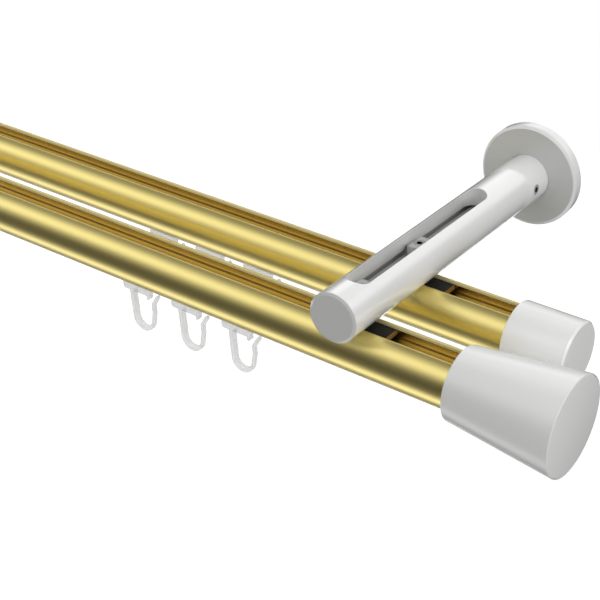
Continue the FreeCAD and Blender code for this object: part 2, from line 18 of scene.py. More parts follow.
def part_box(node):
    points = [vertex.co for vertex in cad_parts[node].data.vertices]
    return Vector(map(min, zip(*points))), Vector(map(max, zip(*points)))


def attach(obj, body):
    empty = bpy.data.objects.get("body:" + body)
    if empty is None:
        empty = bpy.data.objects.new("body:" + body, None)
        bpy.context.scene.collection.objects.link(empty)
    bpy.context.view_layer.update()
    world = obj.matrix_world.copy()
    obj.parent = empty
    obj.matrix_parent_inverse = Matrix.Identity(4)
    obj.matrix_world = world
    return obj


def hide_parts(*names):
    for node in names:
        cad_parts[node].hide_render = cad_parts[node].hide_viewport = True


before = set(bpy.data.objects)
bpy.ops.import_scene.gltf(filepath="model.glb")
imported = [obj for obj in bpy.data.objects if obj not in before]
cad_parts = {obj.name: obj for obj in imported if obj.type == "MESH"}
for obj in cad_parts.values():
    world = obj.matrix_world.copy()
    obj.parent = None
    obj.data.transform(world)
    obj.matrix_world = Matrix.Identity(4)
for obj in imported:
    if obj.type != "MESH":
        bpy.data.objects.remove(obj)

log = logging.getLogger("curtain_pole")

MM = 0.001
ORIGIN = Vector((0, 0, 0))
X_AXIS = Vector((1, 0, 0))
Z_AXIS = Vector((0, 0, 1))
OFF_THE_WALL = Vector((0, -1, 0))
ROOT_BODY = "pole"
SMOOTH_ANGLE = math.radians(32)
MERGE_DISTANCE = 1e-7
TURN_STEPS = 144
HEXAGON_SIDES = 6
BRACKET_X = 448.7 * MM


class Side(Enum):
    """The two mirror-image ends of the pole."""

    LEFT = -1
    RIGHT = 1

    @property
    def suffix(self) -> str:
        """Ending of this side's node names."""
        return f"_{self.name.lower()}"


class Row(Enum):
    """The two rails, from the room towards the wall."""

    FRONT = "front"
    REAR = "rear"


# Shaping

class Outline:
    """An outline drawn edge by edge in a plane, with bmesh operators.

    Points are (across, up) pairs. The plane is YZ for a section that is drawn out along X, and
    XZ for a profile that is turned about an axis.
    """

    def __init__(self, start: tuple[float, float], along_x: bool) -> None:
        """Start the outline.

        Args:
            start: the first point.
            along_x: True for the XZ plane, False for the YZ plane.
        """
        self.mesh = bmesh.new()
        self.along_x = along_x
        self.tip = bmesh.ops.create_vert(self.mesh, co=self.place(start))["vert"][0]

    def place(self, point: tuple[float, float]) -> Vector:
        """Return a point of the plane in space."""
        across, up = point
        return Vector((across, 0, up)) if self.along_x else Vector((0, across, up))

    def line_to(self, *points: tuple[float, float]) -> None:
        """Draw straight edges from the tip.

        Args:
            points: the points to pass, in order.
        """
        for point in points:
            made = bmesh.ops.extrude_vert_indiv(self.mesh, verts=[self.tip])
            new = made["verts"][0]
            bmesh.ops.translate(self.mesh, verts=[new], vec=self.place(point) - new.co)
            self.tip = new

    def arc_about(self, centre: tuple[float, float], turn: float, steps: int) -> None:
        """Draw an arc from the tip.

        Args:
            centre: the arc's centre.
            turn: the angle in degrees, anticlockwise with the first coordinate to the right.
            steps: the number of edges.
        """
        made = bmesh.ops.spin(
            self.mesh,
            geom=[self.tip],
            cent=self.place(centre),
            axis=Vector((0, -1, 0)) if self.along_x else X_AXIS,
            dvec=ORIGIN,
            angle=math.radians(turn),
            steps=steps,
            use_merge=False,
            use_duplicate=False,
        )
        self.tip = only_verts(made["geom_last"])[0]


def only_verts(items: list) -> list[bmesh.types.BMVert]:
    """Return the vertices among the parts of a mesh."""
    return [item for item in items if isinstance(item, bmesh.types.BMVert)]


def turned(profile: Outline, origin: Vector, along: Vector) -> bmesh.types.BMesh:
    """Turn a profile about its first coordinate's axis and set it in place.

    Args:
        profile: (distance, radius) points, drawn in the XZ plane; its mesh is used up.
        origin: the place of distance 0 on the axis.
        along: the axis's direction.

    Returns:
        The closed solid of revolution, in the row frame.
    """
    mesh = profile.mesh
    bmesh.ops.spin(
        mesh,
        geom=mesh.verts[:] + mesh.edges[:],
        cent=ORIGIN,
        axis=X_AXIS,
        dvec=ORIGIN,
        angle=math.tau,
        steps=TURN_STEPS,
        use_merge=True,
        use_duplicate=False,
    )
    turn = X_AXIS.rotation_difference(along).to_matrix()
    bmesh.ops.rotate(mesh, verts=mesh.verts, cent=ORIGIN, matrix=turn)
    bmesh.ops.translate(mesh, verts=mesh.verts, vec=origin)
    return mesh


def drawn_along_rail(half: Outline, start: Vector, length: float) -> bmesh.types.BMesh:
    """Mirror a half section, close it and draw it out along X.

    Args:
        half: the section's +Y half, drawn in the YZ plane; its mesh is used up.
        start: the place of the section's origin at the low end.
        length: how far the section is drawn out.

    Returns:
        The closed bar, in the row frame.
    """
    mesh = half.mesh
    bmesh.ops.mirror(mesh, geom=mesh.verts[:] + mesh.edges[:], axis="Y", merge_dist=MERGE_DISTANCE)
    bmesh.ops.remove_doubles(mesh, verts=mesh.verts, dist=MERGE_DISTANCE)
    section = bmesh.ops.contextual_create(mesh, geom=mesh.edges[:])["faces"]
    bmesh.ops.translate(mesh, verts=mesh.verts, vec=start)
    drawn = bmesh.ops.extrude_face_region(mesh, geom=section)
    bmesh.ops.translate(mesh, verts=only_verts(drawn["geom"]), vec=X_AXIS * length)
    return mesh


def box_middle(node: str) -> Vector:
    """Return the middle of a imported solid's box."""
    low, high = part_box(node)
    return (low + high) / 2


def end_on_axis(node: str, along: Vector) -> Vector:
    """Find where a turned solid starts on its axis.

    Args:
        node: the solid's name.
        along: the axis's direction, a unit vector along X or Y.

    Returns:
        The point.
    """
    low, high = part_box(node)
    length = abs((high - low).dot(along))
    return box_middle(node) - along * length / 2


def finished_object(mesh: bmesh.types.BMesh, name: str) -> bpy.types.Object:
    """Turn a bmesh into a shaded object at the origin.

    Args:
        mesh: the finished shape, in the row frame; it is freed here.
        name: the object's name.

    Returns:
        The new object, linked to the scene.
    """
    bmesh.ops.remove_doubles(mesh, verts=mesh.verts, dist=MERGE_DISTANCE)
    bmesh.ops.recalc_face_normals(mesh, faces=mesh.faces)
    data = bpy.data.meshes.new(name)
    mesh.to_mesh(data)
    mesh.free()
    for polygon in data.polygons:
        polygon.use_smooth = True
    data.set_sharp_from_angle(angle=SMOOTH_ANGLE)
    piece = bpy.data.objects.new(name, data)
    bpy.context.scene.collection.objects.link(piece)
    return piece


# Finishes

class Grain(Enum):
    """Directions in which a surface was drawn or left even: the grain's scales along X, Y, Z."""

    ALONG_RAIL = (6.0, 900.0, 900.0)
    ALONG_ARM = (500.0, 12.0, 500.0)
    EVEN = (400.0, 400.0, 400.0)


GRAIN_DETAIL = 3.0
GRAIN_HEIGHT = 0.05 * MM
SCALE_SOCKETS = {"Scale X": "X", "Scale Y": "Y", "Scale Z": "Z"}


def new_math(nodes: bpy.types.Nodes, operation: str, *values: float | None) -> bpy.types.Node:
    """Add a math node.

    Args:
        nodes: the nodes of a material, a world or a group.
        operation: the node's operation.
        values: what its inputs hold, in order; None leaves one to a link.

    Returns:
        The new node.
    """
    node = nodes.new("ShaderNodeMath")
    node.operation = operation
    for socket, value in zip(node.inputs, values):
        if value is not None:
            socket.default_value = value
    return node


def new_group(name: str, inputs: dict[str, float], outputs: list[str]) -> bpy.types.NodeTree:
    """Create a shader node group with float sockets.

    Args:
        name: the group's name.
        inputs: float inputs with their defaults.
        outputs: outputs; Normal becomes a vector and every other one a float.

    Returns:
        The group, with its Group Input and Group Output nodes.
    """
    group = bpy.data.node_groups.new(name, "ShaderNodeTree")
    for label, default in inputs.items():
        socket = group.interface.new_socket(label, in_out="INPUT", socket_type="NodeSocketFloat")
        socket.default_value = default
    for label in outputs:
        kind = "NodeSocketVector" if label == "Normal" else "NodeSocketFloat"
        group.interface.new_socket(label, in_out="OUTPUT", socket_type=kind)
    group.nodes.new("NodeGroupInput")
    group.nodes.new("NodeGroupOutput")
    return group


def surface_grain_group() -> bpy.types.NodeTree:
    """Make the shared group that varies tone, roughness and normal along a surface.

    Returns:
        The group, made once.
    """
    name = "surface_grain"
    if name in bpy.data.node_groups:
        return bpy.data.node_groups[name]
    inputs = {label: 1.0 for label in SCALE_SOCKETS}
    inputs.update({"Roughness": 0.3, "Variation": 0.05, "Tone": 0.02, "Bump": 0.05})
    group = new_group(name, inputs, ["Tone", "Roughness", "Normal"])
    nodes, links = group.nodes, group.links
    entry, leave = nodes["Group Input"], nodes["Group Output"]
    place = nodes.new("ShaderNodeTexCoord")
    scale = nodes.new("ShaderNodeCombineXYZ")
    stretch = nodes.new("ShaderNodeVectorMath")
    stretch.operation = "MULTIPLY"
    noise = nodes.new("ShaderNodeTexNoise")
    noise.inputs["Scale"].default_value = 1.0
    noise.inputs["Detail"].default_value = GRAIN_DETAIL
    spread = new_math(nodes, "SUBTRACT", None, 0.5)
    roughness = new_math(nodes, "MULTIPLY_ADD")
    tone = new_math(nodes, "MULTIPLY_ADD", None, None, 1.0)
    bump = nodes.new("ShaderNodeBump")
    bump.inputs["Distance"].default_value = GRAIN_HEIGHT
    for label, socket in SCALE_SOCKETS.items():
        links.new(entry.outputs[label], scale.inputs[socket])
    links.new(place.outputs["Object"], stretch.inputs[0])
    links.new(scale.outputs["Vector"], stretch.inputs[1])
    links.new(stretch.outputs["Vector"], noise.inputs["Vector"])
    links.new(noise.outputs["Fac"], spread.inputs[0])
    for target, amount in ((roughness, "Variation"), (tone, "Tone")):
        links.new(spread.outputs["Value"], target.inputs[0])
        links.new(entry.outputs[amount], target.inputs[1])
    links.new(entry.outputs["Roughness"], roughness.inputs[2])
    links.new(noise.outputs["Fac"], bump.inputs["Height"])
    links.new(entry.outputs["Bump"], bump.inputs["Strength"])
    links.new(tone.outputs["Value"], leave.inputs["Tone"])
    links.new(roughness.outputs["Value"], leave.inputs["Roughness"])
    links.new(bump.outputs["Normal"], leave.inputs["Normal"])
    return group


def hollow_tone_group() -> bpy.types.NodeTree:
    """Make the shared group that paints shade on the inside of the two arms, by distance from their
    axes.

    Returns:
        The group, made once.
    """
    name = "hollow_tone"
    if name in bpy.data.node_groups:
        return bpy.data.node_groups[name]
    group = new_group(name, {"Axis X": 0.0, "Radius": 0.0, "Shade": 1.0}, ["Tone"])
    nodes, links = group.nodes, group.links
    entry, leave = nodes["Group Input"], nodes["Group Output"]
    place = nodes.new("ShaderNodeTexCoord")
    split = nodes.new("ShaderNodeSeparateXYZ")
    either_side = new_math(nodes, "ABSOLUTE")
    from_axis = new_math(nodes, "SUBTRACT")
    across = nodes.new("ShaderNodeCombineXYZ")
    distance = nodes.new("ShaderNodeVectorMath")
    distance.operation = "LENGTH"
    inside = new_math(nodes, "LESS_THAN")
    tone = nodes.new("ShaderNodeMix")
    tone.data_type = "FLOAT"
    tone.inputs["A"].default_value = 1.0
    links.new(place.outputs["Object"], split.inputs[0])
    links.new(split.outputs["X"], either_side.inputs[0])
    links.new(either_side.outputs[0], from_axis.inputs[0])
    links.new(entry.outputs["Axis X"], from_axis.inputs[1])
    links.new(from_axis.outputs[0], across.inputs["X"])
    links.new(split.outputs["Z"], across.inputs["Z"])
    links.new(across.outputs[0], distance.inputs[0])
    links.new(distance.outputs["Value"], inside.inputs[0])
    links.new(entry.outputs["Radius"], inside.inputs[1])
    links.new(inside.outputs[0], tone.inputs["Factor"])
    links.new(entry.outputs["Shade"], tone.inputs["B"])
    links.new(tone.outputs[0], leave.inputs["Tone"])
    return group


@dataclass(frozen=True)
class Finish:
    """A surface finish on one Principled shader with the shared grain.

    The rim is a painted shade: how much the base colour darkens where the surface turns away from the
    eye, standing for the darker reflection that lacquer and polished metal show in front of a white
    wall. The hollow radius and shade paint shade on what lies deep inside the arms.
    """

    name: str
    colour: tuple[float, float, float]
    roughness: float
    metallic: float = 0.0
    variation: float = 0.04
    tone: float = 0.02
    bump: float = 0.04
    grain: Grain = Grain.EVEN
    coat: float = 0.0
    coat_roughness: float = 0.05
    coat_ior: float = 1.5
    alpha: float = 1.0
    specular: float = 0.5
    # rim: painted shade, how much the colour darkens towards grazing; its power sets how near the edge
    # it starts
    rim: float = 0.0
    rim_power: float = 5.0
    # painted shade inside the arms: the radius from their axis and how dark it gets
    hollow_radius: float = 0.0
    hollow_shade: float = 1.0

    def build(self) -> bpy.types.Material:
        """Make the material with its shader, its grain and its colour.

        Returns:
            The material, made once.
        """
        name = f"pole_{self.name}"
        if name in bpy.data.materials:
            return bpy.data.materials[name]
        material = bpy.data.materials.new(name)
        material.use_nodes = True
        nodes, links = material.node_tree.nodes, material.node_tree.links
        shader = nodes["Principled BSDF"]
        for label, value in (
            ("Metallic", self.metallic),
            ("Coat Weight", self.coat),
            ("Coat Roughness", self.coat_roughness),
            ("Coat IOR", self.coat_ior),
            ("Alpha", self.alpha),
            ("Specular IOR Level", self.specular),
        ):
            shader.inputs[label].default_value = value
        grain = nodes.new("ShaderNodeGroup")
        grain.node_tree = surface_grain_group()
        for label, value in zip(SCALE_SOCKETS, self.grain.value):
            grain.inputs[label].default_value = value
        for label, value in (
            ("Roughness", self.roughness),
            ("Variation", self.variation),
            ("Tone", self.tone),
            ("Bump", self.bump),
        ):
            grain.inputs[label].default_value = value
        links.new(grain.outputs["Roughness"], shader.inputs["Roughness"])
        links.new(grain.outputs["Normal"], shader.inputs["Normal"])
        links.new(self.toned_colour(material.node_tree, grain), shader.inputs["Base Color"])
        return material

    def toned_colour(self, tree: bpy.types.NodeTree, grain: bpy.types.Node) -> bpy.types.NodeSocket:
        """Vary the colour by the grain, and paint shade on it towards the rim and inside the arms.

        Args:
            tree: the material's node tree.
            grain: the shared grain's node in it.

        Returns:
            The socket that gives the colour.
        """
        nodes, links = tree.nodes, tree.links
        # Painted rim shade: Layer Weight's facing darkens the base colour towards grazing.
        facing = nodes.new("ShaderNodeLayerWeight")
        facing.inputs["Blend"].default_value = 0.5
        steep = new_math(nodes, "POWER", None, self.rim_power)
        shade = new_math(nodes, "MULTIPLY_ADD", None, -self.rim, 1.0)
        tone = new_math(nodes, "MULTIPLY")
        colour = nodes.new("ShaderNodeVectorMath")
        colour.operation = "SCALE"
        colour.inputs[0].default_value = self.colour
        links.new(facing.outputs["Facing"], steep.inputs[0])
        links.new(steep.outputs[0], shade.inputs[0])
        links.new(shade.outputs[0], tone.inputs[0])
        links.new(grain.outputs["Tone"], tone.inputs[1])
        # Painted shade on everything close to the arm's axis.
        if self.hollow_radius > 0:
            tone = self.deepened(tree, tone)
        links.new(tone.outputs[0], colour.inputs["Scale"])
        return colour.outputs["Vector"]

    def deepened(self, tree: bpy.types.NodeTree, tone: bpy.types.Node) -> bpy.types.Node:
        """Paint shade on a tone inside the arms.

        Args:
            tree: the material's node tree.
            tone: the node that gives the tone so far.

        Returns:
            The node that gives the new tone.
        """
        hollow = tree.nodes.new("ShaderNodeGroup")
        hollow.node_tree = hollow_tone_group()
        hollow.inputs["Axis X"].default_value = BRACKET_X
        hollow.inputs["Radius"].default_value = self.hollow_radius
        hollow.inputs["Shade"].default_value = self.hollow_shade
        deep = new_math(tree.nodes, "MULTIPLY")
        tree.links.new(tone.outputs[0], deep.inputs[0])
        tree.links.new(hollow.outputs["Tone"], deep.inputs[1])
        return deep


# The rim values below paint shade on the rims of each finish.
BRASS = Finish(
    name="brass_anodised",
    colour=(0.84, 0.705, 0.265),
    roughness=0.33,
    metallic=0.95,
    tone=0.06,
    bump=0.03,
    grain=Grain.ALONG_RAIL,
    rim=1.0,
    rim_power=6.0,
)
# Paler, less metallic copy of the brass for the lips' edges: a painted highlight.
LIP_HIGHLIGHT_BRASS = Finish(
    name="brass_lip_edge",
    colour=(1.0, 0.90, 0.50),
    roughness=0.5,
    metallic=0.35,
    tone=0.06,
    bump=0.03,
    grain=Grain.ALONG_RAIL,
)
# Darker copy of the brass for the channel's faces: painted shade in the channel.
CHANNEL_SHADE_BRASS = Finish(
    name="brass_in_channel",
    colour=(0.60, 0.465, 0.18),
    roughness=0.25,
    metallic=1.0,
    tone=0.1,
    bump=0.03,
    grain=Grain.ALONG_RAIL,
)
# Near-black copy of the brass for the seam: painted shade in the crease.
SEAM_SHADE_BRASS = Finish("brass_crease", (0.20, 0.135, 0.05), 0.4, metallic=0.6, grain=Grain.ALONG_RAIL)
WHITE_LACQUER = Finish(
    name="white_lacquer",
    colour=(0.90, 0.90, 0.885),
    roughness=0.4,
    coat=1.0,
    coat_roughness=0.02,
    coat_ior=1.8,
    grain=Grain.ALONG_ARM,
    rim=0.2,
    rim_power=4.0,
    # The arm's lacquer gets painted shade inside the arm.
    hollow_radius=8.8 * MM,
    hollow_shade=0.8,
)
# Darker copy of the white lacquer for the rosette's face: painted shade.
ROSETTE_FACE_SHADE_LACQUER = Finish("rosette_lacquer", (0.65, 0.655, 0.64), 0.4, coat=0.8, coat_roughness=0.07)
SIDE_LACQUER = Finish("rosette_side_lacquer", (0.90, 0.90, 0.89), 0.3, coat=0.8, rim=0.35, rim_power=4.0)
# Darker copy of the white lacquer for the arm's cap: painted shade.
CAP_SHADE_LACQUER = Finish("cap_lacquer", (0.71, 0.71, 0.70), 0.4, coat=0.8, coat_roughness=0.07)
WHITE_GLOSS = Finish("white_gloss", (0.935, 0.935, 0.925), 0.25, rim=0.5, rim_power=6.0)
CAST_ZINC = Finish("cast_zinc", (0.54, 0.54, 0.53), 0.5, specular=0.1, rim=0.4)
DARK_STEEL = Finish("dark_steel", (0.015, 0.015, 0.014), 0.5, specular=0.12)
COPPERED_STEEL = Finish("coppered_steel", (0.30, 0.16, 0.045), 0.4, metallic=0.4)
PLATED_STEEL = Finish("plated_steel", (0.55, 0.56, 0.57), 0.4, metallic=0.4)
BRIGHT_STEEL = Finish("bright_steel", (0.40, 0.40, 0.39), 0.4, metallic=0.2, specular=0.2, rim=0.4)
# Near-black finish for the insides of the clamp screws' sockets: painted shade.
SOCKET_SHADE_BLACK = Finish("socket_steel", (0.008, 0.008, 0.008), 0.6, specular=0.0)
SHINY_SOCKET_STEEL = Finish("shiny_socket_steel", (0.34, 0.34, 0.33), 0.2, metallic=0.9)
NATURAL_NYLON = Finish("natural_nylon", (0.80, 0.80, 0.78), 0.45)
CLEAR_NYLON = Finish("clear_nylon", (0.96, 0.96, 0.97), 0.35, alpha=0.36)


def fitted(piece: bpy.types.Object, slot: str, node: str, *finishes: Finish) -> None:
    """Dress a piece and let it stand for a solid of the fixed body.

    Args:
        piece: the finished object.
        slot: the record's material slot; it is not used.
        node: the solid that it replaces.
        finishes: its finishes, in the order of the faces' material numbers.
    """
    for finish in finishes:
        piece.data.materials.append(finish.build())
    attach(piece, ROOT_BODY)
    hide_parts(node)
    log.info("built %s for %s", piece.name, node)


def dress_node(node: str, finish: Finish) -> None:
    """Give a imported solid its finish.

    Args:
        node: the solid's name.
        finish: what it is dressed in.
    """
    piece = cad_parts[node]
    piece.data.materials.clear()
    piece.data.materials.append(finish.build())
    log.info("dressed %s", node)


# Rails and what they hold

class RailFace(Enum):
    """Where a rail's face lies, by the number of its finish."""

    OUTSIDE = 0
    # the channel's faces are dressed in painted shade
    CHANNEL = 1
    # the lips' edges are dressed in a painted highlight
    LIP = 2
    # the seam's faces are dressed in painted shade
    SEAM = 3


@dataclass
class Rail:
    """One round rail with a clamp channel on top and a glider track below."""

    row: Row
    radius: float = 10.0 * MM
    skin: float = 1.2 * MM
    mouth_half: float = 4.0 * MM
    channel_half: float = 5.0 * MM
    lip_underside: float = 7.5 * MM
    channel_floor: float = 4.2 * MM
    groove_half: float = 3.0 * MM
    groove_depth: float = 0.5 * MM
    seam_height: float = 4.25 * MM
    seam_width: float = 0.35 * MM
    seam_depth: float = 0.2 * MM
    track_mouth_half: float = 2.0 * MM
    track_radius: float = 8.7 * MM
    track_top: float = 2.4 * MM
    track_floor: float = -7.9 * MM
    lip_rounding: float = 0.4 * MM
    rounding: float = 0.3 * MM
    tolerance: float = 0.02 * MM
    degrees_per_edge: float = 2.0
    rounding_steps: int = 5

    @property
    def lip_centre(self) -> tuple[float, float]:
        """Centre of the upper lips' rounding on the +Y side."""
        across = self.mouth_half + self.lip_rounding
        return across, math.sqrt((self.radius - self.lip_rounding) ** 2 - across**2)

    @property
    def track_lip_centre(self) -> tuple[float, float]:
        """Centre of the lower lips' rounding on the +Y side."""
        across = self.track_mouth_half + self.rounding
        return across, -math.sqrt((self.radius - self.rounding) ** 2 - across**2)

    def wall_arc(self, pen: Outline, turn: float) -> None:
        """Draw an arc about the rail's axis, in edges of a few degrees."""
        pen.arc_about((0, 0), turn, max(2, round(abs(turn) / self.degrees_per_edge)))

    def draw_channel(self, pen: Outline) -> None:
        """Draw the channel's wall with its seam, from the floor up to the rail's outside.

        Args:
            pen: the section so far, with its tip at the groove's foot in the channel's floor.
        """
        seam_top = self.seam_height + self.seam_width
        lip = self.mouth_half + self.rounding
        pen.line_to(
            (self.groove_half, self.channel_floor),
            (self.channel_half, self.channel_floor),
            (self.channel_half, self.seam_height),
            (self.channel_half + self.seam_depth, self.seam_height),
            (self.channel_half + self.seam_depth, seam_top),
            (self.channel_half, seam_top),
            (self.channel_half, self.lip_underside),
            (lip, self.lip_underside),
        )
        pen.arc_about((lip, self.lip_underside + self.rounding), -90, self.rounding_steps)
        pen.line_to((self.mouth_half, self.lip_centre[1]))

    def half_section(self) -> Outline:
        """Draw the +Y half of the section about the rail's axis, from channel floor to track top.

        Returns:
            The outline.
        """
        groove_floor = self.channel_floor - self.groove_depth
        top_angle = math.degrees(math.atan2(*reversed(self.lip_centre)))
        low_angle = math.degrees(math.atan2(*reversed(self.track_lip_centre)))
        lip_edge = self.track_floor - self.rounding
        ledge = math.sqrt(self.track_radius**2 - self.track_floor**2)
        ledge_angle = math.degrees(math.atan2(self.track_floor, ledge))
        track_angle = math.degrees(math.asin(self.track_top / self.track_radius))
        pen = Outline((0, groove_floor), along_x=False)
        pen.line_to((self.groove_half, groove_floor))
        self.draw_channel(pen)
        pen.arc_about(self.lip_centre, top_angle - 180, self.rounding_steps)
        self.wall_arc(pen, low_angle - top_angle)
        pen.arc_about(self.track_lip_centre, -180 - low_angle, self.rounding_steps)
        pen.line_to((self.track_mouth_half, lip_edge))
        pen.arc_about((self.track_lip_centre[0], lip_edge), -90, self.rounding_steps)
        pen.line_to((ledge, self.track_floor))
        self.wall_arc(pen, track_angle - ledge_angle)
        pen.line_to((0, self.track_top))
        return pen

    def face_at(self, point: Vector) -> RailFace:
        """Tell where a face of the rail lies.

        Args:
            point: the face's middle, from the rail's axis.

        Returns:
            The kind of face.
        """
        across = abs(point.y)
        if point.z < self.channel_floor - 2 * self.groove_depth:
            return RailFace.OUTSIDE
        if across < self.mouth_half + self.tolerance and point.z > self.lip_underside:
            return RailFace.LIP
        if math.hypot(across, point.z) > self.radius - self.skin:
            return RailFace.OUTSIDE
        beside_channel = across > self.channel_half + self.tolerance
        if beside_channel and self.seam_height <= point.z < self.lip_underside:
            return RailFace.SEAM
        return RailFace.CHANNEL

    def build(self) -> None:
        """Draw the section out along the rail, sort its faces and dress it."""
        node = f"{self.row.value}_rail"
        low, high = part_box(node)
        axis_rise = self.rounding - self.track_lip_centre[1]
        start = Vector((low.x, (low.y + high.y) / 2, low.z + axis_rise))
        mesh = drawn_along_rail(self.half_section(), start, high.x - low.x)
        for face in mesh.faces:
            face.material_index = self.face_at(face.calc_center_median() - start).value
        piece = finished_object(mesh, f"{self.row.value}_rail_profile")
        # The channel, lip and seam finishes are painted shade, a painted highlight and painted shade.
        fitted(piece, "brass_anodised", node, BRASS, CHANNEL_SHADE_BRASS, LIP_HIGHLIGHT_BRASS, SEAM_SHADE_BRASS)


@dataclass
class SlotPlate:
    """The dark plate that fills a rail's mouth under the arm, with copper-coloured ends."""

    side: Side
    row: Row
    flange_half: float = 4.8 * MM
    crest_half: float = 3.7 * MM
    flange_thickness: float = 1.8 * MM
    crest_rise: float = 0.3 * MM
    edge: float = 0.12 * MM
    edge_segments: int = 2
    straight_angle: float = 0.01
    end_slant: float = 0.5

    def build(self) -> None:
        """Draw the T section along the rail, break its edges and mark its ends."""
        node = f"{self.row.value}_slot_plate{self.side.suffix}"
        low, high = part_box(node)
        top = self.flange_thickness + self.crest_rise
        pen = Outline((0, 0), along_x=False)
        pen.line_to(
            (self.flange_half, 0),
            (self.flange_half, self.flange_thickness),
            (self.crest_half, self.flange_thickness),
            (self.crest_half, top),
            (0, top),
        )
        start = Vector((low.x, (low.y + high.y) / 2, low.z))
        mesh = drawn_along_rail(pen, start, high.x - low.x)
        bmesh.ops.dissolve_limit(
            mesh, angle_limit=self.straight_angle, verts=mesh.verts, edges=mesh.edges
        )
        bmesh.ops.bevel(
            mesh,
            geom=mesh.edges[:],
            offset=self.edge,
            affect="EDGES",
            segments=self.edge_segments,
            profile=0.5,
            material=-1,
        )
        bmesh.ops.recalc_face_normals(mesh, faces=mesh.faces)
        for face in mesh.faces:
            face.material_index = int(abs(face.normal.x) > self.end_slant)
        piece = finished_object(mesh, f"{self.row.value}_mouth_plate{self.side.suffix}")
        fitted(piece, "dark_steel", node, DARK_STEEL, COPPERED_STEEL)


@dataclass
class Gliders:
    """The hook gliders, dressed."""

    per_group: int = 3

    def build(self) -> None:
        """Dress every glider's solid."""
        for side in Side:
            for row in Row:
                for number in range(1, self.per_group + 1):
                    dress_node(f"{row.value}_glider_{number}{side.suffix}", CLEAR_NYLON)


# Wall brackets

@dataclass
class Rosette:
    """The round cover at the wall, with a slightly coned face and a bevelled edge."""

    side: Side
    radius: float = 20.0 * MM
    hole_radius: float = 9.1 * MM
    side_depth: float = 3.7 * MM
    rim_depth: float = 4.5 * MM
    hub_depth: float = 5.25 * MM
    bevel_width: float = 1.1 * MM
    cavity_depth: float = 2.6 * MM
    rim_thickness: float = 1.2 * MM
    edge: float = 0.12 * MM
    edge_segments: int = 3
    face_slant: float = 0.9

    def profile(self) -> Outline:
        """Draw the section from the cavity's edge at the wall, round the outside and back.

        Returns:
            The outline, with its outer corners rounded.
        """
        cavity = self.radius - self.rim_thickness
        pen = Outline((0, cavity), along_x=True)
        pen.line_to(
            (0, self.radius),
            (self.side_depth, self.radius),
            (self.rim_depth, self.radius - self.bevel_width),
            (self.hub_depth, self.hole_radius),
            (self.cavity_depth, self.hole_radius),
            (self.cavity_depth, cavity),
            (0, cavity),
        )
        corners = [
            vert for vert in pen.mesh.verts if vert.co.z > self.hole_radius and vert.co.x > self.edge
        ]
        bmesh.ops.bevel(
            pen.mesh,
            geom=corners,
            offset=self.edge,
            affect="VERTICES",
            segments=self.edge_segments,
            profile=0.5,
            material=-1,
        )
        return pen

    def build(self) -> None:
        """Turn the section about the arm's axis and mark the sides; the faces across the axis get a
        darker copy of the lacquer as painted shade.
        """
        node = f"rosette{self.side.suffix}"
        mesh = turned(self.profile(), end_on_axis(node, OFF_THE_WALL), OFF_THE_WALL)
        bmesh.ops.recalc_face_normals(mesh, faces=mesh.faces)
        for face in mesh.faces:
            face.material_index = int(abs(face.normal.y) < self.face_slant)
        piece = finished_object(mesh, f"rosette_cover{self.side.suffix}")
        fitted(piece, "white_lacquer", node, ROSETTE_FACE_SHADE_LACQUER, SIDE_LACQUER)


